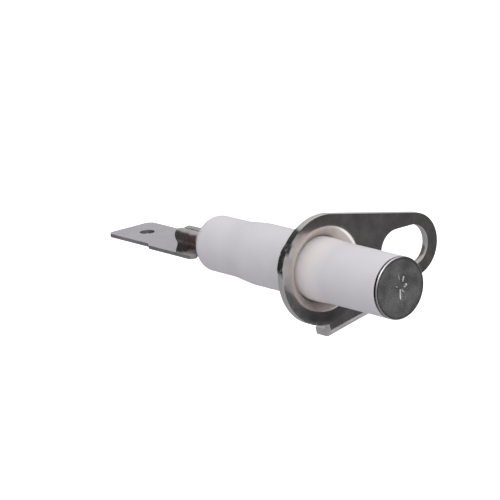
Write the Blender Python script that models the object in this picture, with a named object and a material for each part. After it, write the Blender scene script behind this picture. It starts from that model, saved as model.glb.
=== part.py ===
"""Ignition electrode for a gas burner: a ceramic insulator with a steel spark button at one end,
a spade terminal at the other, and a stamped steel mounting bracket round its middle.

Frame, in metres: the origin is on the ceramic's axis, in the plane of the bracket's front face.
+X runs along the ceramic towards the spark button, +Y along the bracket's ear, +Z is up, square
to the flat of the spade terminal.
"""
import math

import bmesh
import bpy
from mathutils import Vector

MM = 0.001

# Clearance between pieces that touch or grip each other.
JOINT_GAP = 0.3 * MM

# Electrode rod, which ends a little inside the crimp's rear mouth.
ROD_RADIUS = 0.5 * MM
ROD_SETBACK = 0.2 * MM

# Ceramic insulator: a straight front barrel, a middle barrel and a slimmer rear barrel.
CERAMIC_FRONT_RADIUS = 3.40 * MM
CERAMIC_MIDDLE_RADIUS = 3.47 * MM
CERAMIC_REAR_RADIUS = 3.15 * MM
CERAMIC_FRONT_X = 10.85 * MM
CERAMIC_REAR_X = -19.4 * MM
CERAMIC_FRONT_EDGE = 0.25 * MM
REAR_BARREL_LENGTH = 5.2 * MM
STEP_LENGTH = 4.2 * MM
REAR_ROUND_LENGTH = 1.65 * MM
REAR_ROUND_HEIGHT = 2.0 * MM
CERAMIC_FRONT_TAPER_X = 2.5 * MM
REAR_POCKET_DEPTH = 2.5 * MM

# Cement seal in the rear pocket.
SEAL_WALL = 0.6 * MM
SEAL_SETBACK = 0.1 * MM

# Spark button: a disc a hair smaller than the ceramic, with a hub that locates in its front pocket.
BUTTON_STEP_IN = 0.01 * MM
BUTTON_THICKNESS = 0.5 * MM
BUTTON_EDGE = 0.12 * MM
HUB_WALL = 0.5 * MM
HUB_LENGTH = 1.9 * MM
SOCKET_DEPTH = 1.5 * MM

# Mounting bracket, pressed from one sheet.
SHEET = 0.86 * MM
BRACKET_RADIUS = 6.07 * MM
EAR_RADIUS = 3.59 * MM
EAR_Y = 12.64 * MM
DISH_BEND_RADIUS = 1.06 * MM
COLLAR_LENGTH = 2.4 * MM
SLOT_WIDTH = 4.62 * MM
SLOT_TRAVEL = 2.22 * MM
SLOT_INSET = 0.14 * MM
LIP_BEND_RADIUS = 1.03 * MM
LIP_DEPTH = 2.55 * MM
LIP_STANDOFF = 0.49 * MM
LIP_START = -1.2 * MM
LIP_SHORT_OF_EAR = 3.14 * MM
SHEAR_STUB_HEIGHT = 0.22 * MM
SHEAR_STUB_START = math.radians(147)
SHEAR_STUB_END = math.radians(183)

# Spade terminal, a 6.3 mm tab with a crimp barrel. Its base ends in two short horns beside the
# ceramic's rounded rear end.
TERMINAL_SHEET = 0.41 * MM
TAB_WIDTH = 6.3 * MM
TAB_LENGTH = 7.5 * MM
TAB_TIP_CHAMFER = 1.0 * MM
SHOULDER_LENGTH = 0.7 * MM
BASE_LENGTH = 7.3 * MM
BASE_WIDTH = 7.33 * MM
BASE_CORNER = 0.4 * MM
HORN_LENGTH = 1.15 * MM
TAB_HOLE_RADIUS = 0.9 * MM
TAB_HOLE_FROM_TIP = 3.57 * MM
CRIMP_WALL = 0.35 * MM
CRIMP_SINK = 0.02 * MM
CRIMP_LENGTH = 3.9 * MM
CRIMP_SETBACK = 0.6 * MM
CRIMP_SEAM_WIDTH = 0.3 * MM
CRIMP_SEAM_ANGLE = math.radians(90)

# Facets.
ROUND_STEPS = 56
SMALL_ROUND_STEPS = 32
BEND_STEPS = 7
MERGE = 0.000001
SMOOTH_ANGLE = math.radians(35)

# Sizes that follow from the ones above.
STEP_REAR_X = CERAMIC_REAR_X + REAR_BARREL_LENGTH
STEP_FRONT_X = STEP_REAR_X + STEP_LENGTH
BUTTON_RADIUS = CERAMIC_FRONT_RADIUS - BUTTON_STEP_IN
BORE_RADIUS = ROD_RADIUS + JOINT_GAP
SEAL_RADIUS = BORE_RADIUS + SEAL_WALL
REAR_POCKET_RADIUS = SEAL_RADIUS + JOINT_GAP
SOCKET_RADIUS = ROD_RADIUS + JOINT_GAP
HUB_RADIUS = SOCKET_RADIUS + HUB_WALL
FRONT_POCKET_RADIUS = HUB_RADIUS + JOINT_GAP
FRONT_POCKET_DEPTH = HUB_LENGTH
BUTTON_BACK_X = CERAMIC_FRONT_X + JOINT_GAP
BUTTON_FACE_X = BUTTON_BACK_X + BUTTON_THICKNESS
HUB_REAR_X = BUTTON_BACK_X - HUB_LENGTH
ROD_FRONT_X = HUB_REAR_X + SOCKET_DEPTH - JOINT_GAP
COLLAR_RADIUS = CERAMIC_MIDDLE_RADIUS + JOINT_GAP
DISH_RADIUS = COLLAR_RADIUS + DISH_BEND_RADIUS
SLOT_FAR_Y = EAR_Y - SLOT_INSET
SLOT_NEAR_Y = SLOT_FAR_Y - SLOT_TRAVEL
LIP_END = EAR_Y - LIP_SHORT_OF_EAR
TERMINAL_TOP_Z = -ROD_RADIUS - JOINT_GAP
TERMINAL_FRONT_X = CERAMIC_REAR_X - JOINT_GAP
HORN_FRONT_X = TERMINAL_FRONT_X + HORN_LENGTH
TAB_SHOULDER_X = TERMINAL_FRONT_X - BASE_LENGTH
TAB_TIP_X = TAB_SHOULDER_X - TAB_LENGTH
CRIMP_INNER_RADIUS = ROD_RADIUS + JOINT_GAP
CRIMP_FRONT_X = TERMINAL_FRONT_X - CRIMP_SETBACK
CRIMP_REAR_X = CRIMP_FRONT_X - CRIMP_LENGTH
ROD_REAR_X = CRIMP_REAR_X + ROD_SETBACK


def clear_scene():
    """Empty the scene."""
    for old in list(bpy.data.objects):
        bpy.data.objects.remove(old, do_unlink=True)


def make_material(name, colour, metallic, roughness):
    """A Principled material of one colour."""
    material = bpy.data.materials.new(name)
    material.use_nodes = True
    shader = material.node_tree.nodes["Principled BSDF"]
    shader.inputs["Base Color"].default_value = (*colour, 1.0)
    shader.inputs["Metallic"].default_value = metallic
    shader.inputs["Roughness"].default_value = roughness
    return material


def add_object(name, bm, material):
    """Turn a bmesh into a named, smooth-shaded object with outward normals."""
    bmesh.ops.recalc_face_normals(bm, faces=bm.faces)
    mesh = bpy.data.meshes.new(name)
    bm.to_mesh(mesh)
    bm.free()
    mesh.materials.append(material)
    mesh.shade_smooth()
    mesh.set_sharp_from_angle(angle=SMOOTH_ANGLE)
    obj = bpy.data.objects.new(name, mesh)
    bpy.context.scene.collection.objects.link(obj)
    return obj


def arc(centre, radius_a, radius_b, start, end, steps):
    """Points on an elliptical arc, both ends included."""
    turn = (end - start) / steps
    return [
        (centre[0] + radius_a * math.cos(start + turn * i),
         centre[1] + radius_b * math.sin(start + turn * i))
        for i in range(steps + 1)
    ]


def smooth_step(start, end, steps):
    """Points of an S-shaped blend from one (x, radius) to another, both ends included."""
    points = []
    for i in range(steps + 1):
        t = i / steps
        ease = t * t * (3 - 2 * t)
        points.append((start[0] + (end[0] - start[0]) * t, start[1] + (end[1] - start[1]) * ease))
    return points


def turned_solid(profile, steps):
    """A closed profile of (x, radius) points turned about the X axis."""
    bm = bmesh.new()
    verts = [bm.verts.new((x, radius, 0)) for x, radius in profile]
    edges = [bm.edges.new((a, b)) for a, b in zip(verts, verts[1:] + verts[:1])]
    bmesh.ops.spin(bm, geom=verts + edges, cent=(0, 0, 0), axis=(1, 0, 0),
                   angle=2 * math.pi, steps=steps, use_merge=True)
    bmesh.ops.remove_doubles(bm, verts=bm.verts, dist=MERGE)
    return bm


def solid_bar(profile, steps):
    """A profile of (x, radius) points turned about the X axis, with flat ends."""
    bm = bmesh.new()
    verts = [bm.verts.new((x, radius, 0)) for x, radius in profile]
    edges = [bm.edges.new((a, b)) for a, b in zip(verts, verts[1:])]
    bmesh.ops.spin(bm, geom=verts + edges, cent=(0, 0, 0), axis=(1, 0, 0),
                   angle=2 * math.pi, steps=steps, use_merge=True)
    bmesh.ops.remove_doubles(bm, verts=bm.verts, dist=MERGE)
    bmesh.ops.holes_fill(bm, edges=bm.edges, sides=0)
    return bm


def make_ceramic(material):
    """The insulator: three barrels in one turned body, with the rod's bore right through it."""
    front_edge = CERAMIC_FRONT_EDGE
    quarter = math.pi / 2
    outside = arc((CERAMIC_FRONT_X - front_edge, CERAMIC_FRONT_RADIUS - front_edge),
                  front_edge, front_edge, 0, quarter, 4)
    outside += smooth_step((CERAMIC_FRONT_TAPER_X, CERAMIC_FRONT_RADIUS),
                           (0, CERAMIC_MIDDLE_RADIUS), 4)
    outside += smooth_step((STEP_FRONT_X, CERAMIC_MIDDLE_RADIUS),
                           (STEP_REAR_X, CERAMIC_REAR_RADIUS), 8)
    outside += arc((CERAMIC_REAR_X + REAR_ROUND_LENGTH, CERAMIC_REAR_RADIUS - REAR_ROUND_HEIGHT),
                   REAR_ROUND_LENGTH, REAR_ROUND_HEIGHT, quarter, 2 * quarter, 8)[:-1]
    pocket_floor = CERAMIC_REAR_X + REAR_POCKET_DEPTH
    front_floor = CERAMIC_FRONT_X - FRONT_POCKET_DEPTH
    mouth_radius = max(REAR_POCKET_RADIUS, CERAMIC_REAR_RADIUS - REAR_ROUND_HEIGHT)
    outside = [point for point in outside if point[1] > mouth_radius or point[0] > 0]
    inside = [
        (CERAMIC_REAR_X, mouth_radius),
        (pocket_floor, REAR_POCKET_RADIUS),
        (pocket_floor, BORE_RADIUS),
        (front_floor, BORE_RADIUS),
        (front_floor, FRONT_POCKET_RADIUS),
        (CERAMIC_FRONT_X, FRONT_POCKET_RADIUS),
    ]
    return add_object("ceramic_insulator", turned_solid(outside + inside, ROUND_STEPS), material)


def make_rod(material):
    """The conductor: a straight rod from the terminal's crimp to the button's hub."""
    profile = [(ROD_REAR_X, ROD_RADIUS), (ROD_FRONT_X, ROD_RADIUS)]
    return add_object("electrode_rod", solid_bar(profile, SMALL_ROUND_STEPS), material)


def make_button(material):
    """The spark button: a round disc with a broken edge and a hub with a socket for the rod."""
    profile = [
        (BUTTON_FACE_X, BUTTON_RADIUS - BUTTON_EDGE),
        (BUTTON_FACE_X - BUTTON_EDGE, BUTTON_RADIUS),
        (BUTTON_BACK_X, BUTTON_RADIUS),
        (BUTTON_BACK_X, HUB_RADIUS),
        (HUB_REAR_X, HUB_RADIUS),
        (HUB_REAR_X, SOCKET_RADIUS),
        (HUB_REAR_X + SOCKET_DEPTH, SOCKET_RADIUS),
    ]
    return add_object("spark_button", solid_bar(profile, ROUND_STEPS), material)


def make_seal(material):
    """The cement ring that closes the rear pocket round the rod."""
    front = CERAMIC_REAR_X + REAR_POCKET_DEPTH - JOINT_GAP
    rear = CERAMIC_REAR_X + SEAL_SETBACK
    profile = [(front, BORE_RADIUS), (front, SEAL_RADIUS), (rear, SEAL_RADIUS), (rear, BORE_RADIUS)]
    return add_object("rear_cement_seal", turned_solid(profile, SMALL_ROUND_STEPS), material)


def bracket_outline():
    """The bracket's flat outline as (y, z) points, anticlockwise seen from the front, and the
    numbers of the two points between which the lip is bent."""
    lean = math.asin((BRACKET_RADIUS - EAR_RADIUS) / EAR_Y)
    tangent = math.pi / 2 - lean
    along = Vector((math.cos(lean), math.sin(lean)))
    outward = Vector((math.sin(lean), -math.cos(lean)))
    points = arc((EAR_Y, 0), EAR_RADIUS, EAR_RADIUS, -tangent, tangent, 24)
    points += arc((0, 0), BRACKET_RADIUS, BRACKET_RADIUS, tangent, SHEAR_STUB_START, 12)
    stub = BRACKET_RADIUS + SHEAR_STUB_HEIGHT
    points += arc((0, 0), stub, stub, SHEAR_STUB_START, SHEAR_STUB_END, 6)
    foot_angle = math.atan2(outward.y, outward.x) + 2 * math.pi
    lip_angle = foot_angle + math.asin(LIP_START / BRACKET_RADIUS)
    points += arc((0, 0), BRACKET_RADIUS, BRACKET_RADIUS, SHEAR_STUB_END, lip_angle, 16)
    lip_line = outward * (BRACKET_RADIUS + LIP_STANDOFF)
    lip_first = len(points)
    points.append(tuple(lip_line + along * LIP_START))
    points.append(tuple(lip_line + along * LIP_END))
    points.append(tuple(outward * BRACKET_RADIUS + along * LIP_END))
    return points, lip_first, outward, along


def slot_outline():
    """The slot in the ear as (y, z) points."""
    half = SLOT_WIDTH / 2
    quarter = math.pi / 2
    near_end = arc((SLOT_NEAR_Y, 0), half, half, quarter, 3 * quarter, 14)
    far_end = arc((SLOT_FAR_Y, 0), half, half, -quarter, quarter, 14)
    return near_end + far_end


def add_loop(bm, points, x):
    """A closed loop of edges through (y, z) points at one x."""
    verts = [bm.verts.new((x, y, z)) for y, z in points]
    edges = [bm.edges.new((a, b)) for a, b in zip(verts, verts[1:] + verts[:1])]
    return verts, edges


def draw_dish(bm, rim):
    """Carry the sheet from the dish's rim round its bend and back along the collar."""
    bend = arc((-DISH_BEND_RADIUS, DISH_RADIUS), DISH_BEND_RADIUS, -DISH_BEND_RADIUS,
               0, math.pi / 2, BEND_STEPS)
    for x, radius in bend[1:] + [(-COLLAR_LENGTH, COLLAR_RADIUS)]:
        scale = radius / DISH_RADIUS
        ring = [bm.verts.new((x, v.co.y * scale, v.co.z * scale)) for v in rim["first"]]
        for i, vert in enumerate(ring):
            previous = rim["last"]
            bm.faces.new((previous[i - 1], previous[i], vert, ring[i - 1]))
        rim["last"] = ring


def bend_lip(bm, edge, outward, along):
    """Bend the sheet back along one edge and carry it straight to the lip's end."""
    axis = Vector((0, along.x, along.y))
    centre = edge.verts[0].co + Vector((-LIP_BEND_RADIUS, 0, 0))
    out = Vector((0, outward.x, outward.y))
    direction = 1 if axis.cross(Vector((1, 0, 0))).dot(out) > 0 else -1
    bent = bmesh.ops.spin(bm, geom=[edge, *edge.verts], cent=centre, axis=axis,
                          angle=direction * math.pi / 2, steps=BEND_STEPS, use_merge=False)
    last = [item for item in bent["geom_last"] if isinstance(item, bmesh.types.BMEdge)]
    straight = bmesh.ops.extrude_edge_only(bm, edges=last)
    ends = [item for item in straight["geom"] if isinstance(item, bmesh.types.BMVert)]
    bmesh.ops.translate(bm, verts=ends, vec=(LIP_BEND_RADIUS - LIP_DEPTH, 0, 0))


def make_bracket(material):
    """The mounting bracket: a pear-shaped plate with a slotted ear, a drawn collar round the
    ceramic and one edge bent back as a stiffening lip."""
    bm = bmesh.new()
    outline, lip_first, outward, along = bracket_outline()
    outer_edges = add_loop(bm, outline, 0)[1]
    rim_points = arc((0, 0), DISH_RADIUS, DISH_RADIUS, 0, 2 * math.pi, ROUND_STEPS)[:-1]
    rim_verts, rim_edges = add_loop(bm, rim_points, 0)
    slot_edges = add_loop(bm, slot_outline(), 0)[1]
    bmesh.ops.triangle_fill(bm, use_beauty=True, use_dissolve=False,
                            edges=outer_edges + rim_edges + slot_edges, normal=(1, 0, 0))
    draw_dish(bm, {"first": rim_verts, "last": rim_verts})
    bend_lip(bm, outer_edges[lip_first], outward, along)
    bracket = add_object("mounting_bracket", bm, material)
    face_forward(bracket.data)
    solidify = bracket.modifiers.new("sheet", "SOLIDIFY")
    solidify.thickness = SHEET
    solidify.offset = -1
    solidify.use_even_offset = True
    return bracket


def face_forward(mesh):
    """Make the normals of an open sheet point to the front, so that it thickens to the rear."""
    flat = max(mesh.polygons, key=lambda polygon: abs(polygon.normal.x) * polygon.area)
    if flat.normal.x < 0:
        mesh.flip_normals()


def horn_inside():
    """The base's concave front edge as (x, y) points, from one horn's end to the middle. It keeps
    the joint's gap to the ceramic's rounded rear end at the strip's upper face."""
    centre_x = CERAMIC_REAR_X + REAR_ROUND_LENGTH
    length = REAR_ROUND_LENGTH + JOINT_GAP
    height = REAR_ROUND_HEIGHT + JOINT_GAP
    start = math.acos((HORN_FRONT_X - centre_x) / length)
    clear = arc((centre_x, CERAMIC_REAR_RADIUS - REAR_ROUND_HEIGHT), length, height,
                start, math.pi, 7)
    return [(x, math.sqrt(radius ** 2 - TERMINAL_TOP_Z ** 2)) for x, radius in clear]


def terminal_outline():
    """The terminal's flat outline as (x, y) points, from the shoulder round the tip and back."""
    half_tab = TAB_WIDTH / 2
    half_base = BASE_WIDTH / 2
    quarter = math.pi / 2
    side = [
        (TAB_TIP_X, half_tab - TAB_TIP_CHAMFER),
        (TAB_TIP_X + TAB_TIP_CHAMFER, half_tab),
        (TAB_SHOULDER_X, half_tab),
        (TAB_SHOULDER_X + SHOULDER_LENGTH, half_base),
    ]
    corner = arc((HORN_FRONT_X - BASE_CORNER, half_base - BASE_CORNER),
                 BASE_CORNER, BASE_CORNER, quarter, 0, 6)
    upper = side + corner + horn_inside()
    lower = [(x, -y) for x, y in reversed(upper)]
    return upper + lower


def terminal_plate():
    """The flat tab and base, with the tab's locating hole."""
    bm = bmesh.new()
    loops = [terminal_outline()]
    hole_x = TAB_TIP_X + TAB_HOLE_FROM_TIP
    loops.append(arc((hole_x, 0), TAB_HOLE_RADIUS, TAB_HOLE_RADIUS, 0, 2 * math.pi, 24)[:-1])
    edges = []
    for loop in loops:
        verts = [bm.verts.new((x, y, TERMINAL_TOP_Z)) for x, y in loop]
        edges += [bm.edges.new((a, b)) for a, b in zip(verts, verts[1:] + verts[:1])]
    bmesh.ops.triangle_fill(bm, use_beauty=True, use_dissolve=False, edges=edges,
                            normal=(0, 0, 1))
    faces = list(bm.faces)
    walls = bmesh.ops.extrude_face_region(bm, geom=faces, use_keep_orig=True)
    moved = [item for item in walls["geom"] if isinstance(item, bmesh.types.BMVert)]
    bmesh.ops.translate(bm, verts=moved, vec=(0, 0, -TERMINAL_SHEET))
    return bm


def crimp_barrel(material):
    """The crimp's curled wings: a ring section with an open seam, drawn along X."""
    outer = CRIMP_INNER_RADIUS + CRIMP_WALL
    opening = CRIMP_SEAM_WIDTH / 2 / CRIMP_INNER_RADIUS
    start = CRIMP_SEAM_ANGLE + opening
    end = CRIMP_SEAM_ANGLE - opening + 2 * math.pi
    centre = (0, -CRIMP_SINK)
    section = arc(centre, outer, outer, start, end, SMALL_ROUND_STEPS)
    section += arc(centre, CRIMP_INNER_RADIUS, CRIMP_INNER_RADIUS, end, start, SMALL_ROUND_STEPS)
    bm = bmesh.new()
    face = bm.faces.new([bm.verts.new((CRIMP_REAR_X, y, z)) for y, z in section])
    drawn = bmesh.ops.extrude_face_region(bm, geom=[face], use_keep_orig=True)
    moved = [item for item in drawn["geom"] if isinstance(item, bmesh.types.BMVert)]
    bmesh.ops.translate(bm, verts=moved, vec=(CRIMP_FRONT_X - CRIMP_REAR_X, 0, 0))
    bmesh.ops.triangulate(bm, faces=bm.faces)
    wings = add_object("crimp_wings_guide", bm, material)
    wings.hide_render = True
    wings.display_type = "WIRE"
    return wings


def make_terminal(material):
    """The spade terminal: tab, base and crimp barrel in one piece of sheet."""
    terminal = add_object("spade_terminal", terminal_plate(), material)
    union = terminal.modifiers.new("wings", "BOOLEAN")
    union.operation = "UNION"
    union.solver = "EXACT"
    union.object = crimp_barrel(material)
    return terminal


def main():
    """Build the whole electrode."""
    clear_scene()
    ceramic = make_material("alumina", (0.80, 0.80, 0.82), 0.0, 0.45)
    bracket_steel = make_material("pressed_stainless", (0.46, 0.45, 0.43), 1.0, 0.32)
    button_steel = make_material("turned_stainless", (0.42, 0.42, 0.41), 1.0, 0.35)
    rod_steel = make_material("rod_alloy", (0.40, 0.37, 0.34), 1.0, 0.4)
    terminal_steel = make_material("plated_steel", (0.55, 0.54, 0.53), 1.0, 0.38)
    cement = make_material("cement", (0.72, 0.70, 0.66), 0.0, 0.9)
    make_ceramic(ceramic)
    make_bracket(bracket_steel)
    make_button(button_steel)
    make_rod(rod_steel)
    make_terminal(terminal_steel)
    make_seal(cement)


main()
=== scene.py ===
"""The looks of the ignition electrode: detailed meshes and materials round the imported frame.

Lengths are in metres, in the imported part's own frame: +X along the ceramic towards the spark
button, +Y along the bracket's ear, +Z up, with the origin in the plane of the bracket's front face.
"""
import math
import random

import bmesh
import bpy
from mathutils import Matrix, Vector


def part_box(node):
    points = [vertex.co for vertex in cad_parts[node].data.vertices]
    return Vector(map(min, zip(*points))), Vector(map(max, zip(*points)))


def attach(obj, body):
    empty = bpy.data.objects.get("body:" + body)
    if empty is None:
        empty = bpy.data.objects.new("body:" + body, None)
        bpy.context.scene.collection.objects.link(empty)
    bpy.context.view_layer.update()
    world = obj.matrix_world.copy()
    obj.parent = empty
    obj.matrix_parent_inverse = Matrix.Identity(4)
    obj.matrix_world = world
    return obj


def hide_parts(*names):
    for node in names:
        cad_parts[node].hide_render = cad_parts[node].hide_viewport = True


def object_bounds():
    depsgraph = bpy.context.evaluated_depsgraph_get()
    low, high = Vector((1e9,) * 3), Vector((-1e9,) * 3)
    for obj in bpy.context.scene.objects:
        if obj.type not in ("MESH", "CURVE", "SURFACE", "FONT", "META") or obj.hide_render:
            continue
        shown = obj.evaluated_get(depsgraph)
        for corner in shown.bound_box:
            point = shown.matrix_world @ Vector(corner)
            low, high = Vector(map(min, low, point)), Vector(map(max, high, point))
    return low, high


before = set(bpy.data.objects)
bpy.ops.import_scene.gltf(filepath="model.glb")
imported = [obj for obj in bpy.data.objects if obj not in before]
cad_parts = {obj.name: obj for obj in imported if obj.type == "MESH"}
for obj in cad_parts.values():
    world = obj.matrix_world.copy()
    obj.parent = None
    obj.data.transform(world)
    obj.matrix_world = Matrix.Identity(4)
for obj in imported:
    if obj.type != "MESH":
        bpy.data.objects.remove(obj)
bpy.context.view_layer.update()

MM = 0.001
QUARTER = math.pi / 2

# Camera: where it stands round the part, what it looks at, and its lens.
CAMERA_AZIMUTH = math.radians(50.78)
CAMERA_ELEVATION = math.radians(14.98)
CAMERA_ROLL = math.radians(-3.55)
CAMERA_DISTANCE = 364 * MM
CAMERA_TARGET = Vector((-5.60, -5.78, 2.54)) * MM
CAMERA_LENS = 245.1
SENSOR_WIDTH = 36.0

# Studio.
FLOOR_DROP = 36 * MM
FLOOR_SIZE = 6.0
WORLD_BASE = 0.66
WORLD_LENGTHWISE = 0.28
WORLD_SIDEWAYS = 0.07
WORLD_UPWARD = 0.17

# Ceramic insulator.
CERAMIC_FRONT_RADIUS = 3.39 * MM
CERAMIC_MIDDLE_RADIUS = 3.47 * MM
CERAMIC_REAR_RADIUS = 3.15 * MM
CERAMIC_FRONT_EDGE = 0.20 * MM
CERAMIC_SWELL = 0.05 * MM
CERAMIC_TAPER_FRONT_X = 2.6 * MM
CERAMIC_TAPER_REAR_X = -0.6 * MM
SWELL_END_X = -2.6 * MM
SWELL_GONE_X = -4.4 * MM
STEP_FRONT_X = -10.0 * MM
STEP_REAR_X = -14.2 * MM
REAR_ROUND_LENGTH = 1.66 * MM
REAR_ROUND_HEIGHT = 2.2 * MM
REAR_POCKET_DEPTH = 2.0 * MM

# Spark button, and the stake marks round its centre: angle, start, end, half width and depth.
BUTTON_EDGE = 0.12 * MM
BUTTON_WALL = 0.30 * MM
BUTTON_UNDERCUT = 0.03 * MM
BUTTON_BACK_EDGE = 0.06 * MM
BUTTON_FACE_RINGS = 64
STAKES = (
    (math.radians(64), 0.70 * MM, 1.30 * MM, 0.14 * MM, 0.085 * MM),
    (math.radians(14), 0.45 * MM, 1.00 * MM, 0.15 * MM, 0.080 * MM),
    (math.radians(266), 0.14 * MM, 1.26 * MM, 0.13 * MM, 0.085 * MM),
    (math.radians(98), 0.70 * MM, 1.62 * MM, 0.13 * MM, 0.030 * MM),
    (math.radians(308), 0.25 * MM, 0.80 * MM, 0.12 * MM, 0.030 * MM),
    (math.radians(160), 0.30 * MM, 0.75 * MM, 0.12 * MM, 0.025 * MM),
)

# Electrode rod and its seal.
ROD_RADIUS = 0.50 * MM
ROD_EDGE = 0.12 * MM
ROD_END_DISH = 0.04 * MM
BORE_CLEARANCE = 0.03 * MM
SEAL_SETBACK = 0.25 * MM
SEAL_CROWN = 0.13 * MM
SEAL_SPREAD = 0.04 * MM
SEAL_OVERLAP = 0.02 * MM
SEAL_ROUGHNESS = 0.02 * MM
SEAL_ROUGH_DEPTH = 0.3 * MM

# Mounting bracket.
SHEET = 0.86 * MM
BRACKET_RADIUS = 6.07 * MM
EAR_RADIUS = 3.59 * MM
EAR_Y = 12.64 * MM
DISH_KNEE = 0.92 * MM
DISH_OUTER_RADIUS = 5.02 * MM
DISH_SLOPE = math.radians(45)
DISH_CLEARANCE = 0.02 * MM
COLLAR_LENGTH = 2.4 * MM
SLOT_WIDTH = 4.62 * MM
SLOT_FAR_Y = 12.50 * MM
SLOT_NEAR_Y = 10.28 * MM
LIP_BEND_RADIUS = 1.03 * MM
LIP_DEPTH = 2.55 * MM
LIP_STANDOFF = 0.49 * MM
LIP_START = -1.2 * MM
LIP_END = 9.5 * MM
STUB_HEIGHT = 0.20 * MM
STUB_ROUGHNESS = 0.05 * MM
STUB_RAMP = 3.5
STUB_CLEAR_ANGLE = 0.02
STUB_START = math.radians(140)
STUB_END = math.radians(176)
SHEET_EDGE = 0.10 * MM
FRONT_ROLL = 0.24 * MM
FLAT_MARGIN = 0.10 * MM
# Angles of the bracket edge's torn stretch: roughened, and painted near-black as dark reflection.
TORN_START = math.radians(123)
TORN_END = math.radians(173)

# Spade terminal.
TERMINAL_SHEET = 0.41 * MM
TERMINAL_TOP_Z = -0.80 * MM
TAB_WIDTH = 6.3 * MM
TAB_TIP_ROUND = 0.85 * MM
TAB_TIP_BACK = 0.20 * MM
TAB_SHOULDER_X = -26.95 * MM
SHOULDER_LENGTH = 1.0 * MM
BASE_WIDTH = 7.33 * MM
BASE_CORNER = 0.42 * MM
HORN_CLEARANCE = 0.06 * MM
TAB_HOLE_RADIUS = 0.88 * MM
TAB_HOLE_TAPER = 0.84
TAB_HOLE_FROM_TIP = 3.57 * MM
HOLE_REACH = 1.2 * TAB_HOLE_RADIUS
STRIP_EDGE = 0.06 * MM

# Crimp, whose two wings curl over the rod and meet along its top.
CRIMP_WALL = 0.41 * MM
CRIMP_REAR_X = -24.2 * MM
CRIMP_FRONT_X = -20.2 * MM
CRIMP_CURL_Y = 0.65 * MM
CRIMP_CURL_Z = 0.20 * MM
CRIMP_CURL_RADIUS = 0.70 * MM
CRIMP_CURL_END = math.radians(76)
CRIMP_INSIDE_END = math.radians(50)
CRIMP_TOP = ((0.03, 0.66), (0.06, 0.76), (0.14, 0.835), (0.30, 0.87))
CRIMP_UNDER = ((0.03, 0.55), (0.25, 0.53))
CRIMP_FOOT = ((1.335, 0.02), (1.29, -0.17), (1.21, -0.35), (1.12, -0.52), (1.05, -0.68))
CRIMP_SINK = 0.05 * MM
CRIMP_FLOOR_Z = -0.51 * MM
CRIMP_FLOOR_HALF = 0.55 * MM
CRIMP_FLARE = 0.16
CRIMP_STATIONS = 12
CRIMP_EDGE = 0.05 * MM

# Mesh fineness.
ROUND_STEPS = 144
BEND_STEPS = 14
MERGE = 1e-7
SMOOTH_ANGLE = math.radians(32)
SHARP_EDGE = math.radians(55)


# ---------------------------------------------------------------- shape helpers

def arc(centre, radius_a, radius_b, start, end, steps):
    """Points on an elliptical arc, both ends included."""
    turn = (end - start) / steps
    return [
        (centre[0] + radius_a * math.cos(start + turn * i),
         centre[1] + radius_b * math.sin(start + turn * i))
        for i in range(steps + 1)
    ]


def ease(t):
    """An S-shaped rise from 0 to 1."""
    t = min(1.0, max(0.0, t))
    return t * t * (3 - 2 * t)


def blend_line(start, end, steps):
    """Points of an S-shaped change from one (x, radius) to another, both ends included."""
    return [
        (start[0] + (end[0] - start[0]) * i / steps,
         start[1] + (end[1] - start[1]) * ease(i / steps))
        for i in range(steps + 1)
    ]


def add_piece(name, bm, materials, replaced):
    """Turn a bmesh into a smooth-shaded piece that rides on the part and stands for a CAD node."""
    bmesh.ops.recalc_face_normals(bm, faces=bm.faces)
    mesh = bpy.data.meshes.new(name)
    bm.to_mesh(mesh)
    bm.free()
    for material in materials:
        mesh.materials.append(material)
    mesh.shade_smooth()
    mesh.set_sharp_from_angle(angle=SMOOTH_ANGLE)
    piece = bpy.data.objects.new(name, mesh)
    bpy.context.scene.collection.objects.link(piece)
    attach(piece, "root")
    if replaced:
        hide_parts(replaced)
    return piece


def soften(piece, width, segments=3):
    """Round the piece's sharp edges and keep its flats flat."""
    bevel = piece.modifiers.new("edges", "BEVEL")
    bevel.width = width
    bevel.segments = segments
    bevel.limit_method = "ANGLE"
    bevel.angle_limit = SMOOTH_ANGLE
    bevel.use_clamp_overlap = True
    weighted = piece.modifiers.new("flats", "WEIGHTED_NORMAL")
    weighted.keep_sharp = True


def bake_modifiers(piece):
    """Replace the piece's mesh by its final, modified mesh."""
    bpy.context.view_layer.update()
    evaluated = piece.evaluated_get(bpy.context.evaluated_depsgraph_get())
    final = bpy.data.meshes.new_from_object(evaluated)
    piece.modifiers.clear()
    piece.data = final


def turned(profile, steps):
    """A closed profile of (x, radius) points turned about the X axis."""
    bm = bmesh.new()
    verts = [bm.verts.new((x, radius, 0)) for x, radius in profile]
    edges = [bm.edges.new((a, b)) for a, b in zip(verts, verts[1:] + verts[:1])]
    bmesh.ops.spin(bm, geom=verts + edges, cent=(0, 0, 0), axis=(1, 0, 0),
                   angle=2 * math.pi, steps=steps, use_merge=True)
    bmesh.ops.remove_doubles(bm, verts=bm.verts, dist=MERGE)
    return bm


def ring_of(bm, x, radius, steps):
    """A ring of vertices about the X axis."""
    return [bm.verts.new((x, radius * math.cos(2 * math.pi * i / steps),
                          radius * math.sin(2 * math.pi * i / steps))) for i in range(steps)]


def bridge(bm, first, second):
    """Quads between two closed rings with the same number of vertices."""
    for i in range(len(first)):
        bm.faces.new((first[i - 1], first[i], second[i], second[i - 1]))


def add_loop(bm, points, x):
    """A closed loop of edges through (y, z) points at one x."""
    verts = [bm.verts.new((x, y, z)) for y, z in points]
    edges = [bm.edges.new((a, b)) for a, b in zip(verts, verts[1:] + verts[:1])]
    return verts, edges


# ---------------------------------------------------------------- material helpers

def start_material(name):
    """A new node material; gives it, its node tree and its Principled shader."""
    material = bpy.data.materials.new(name)
    material.use_nodes = True
    tree = material.node_tree
    return material, tree, tree.nodes["Principled BSDF"]


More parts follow.
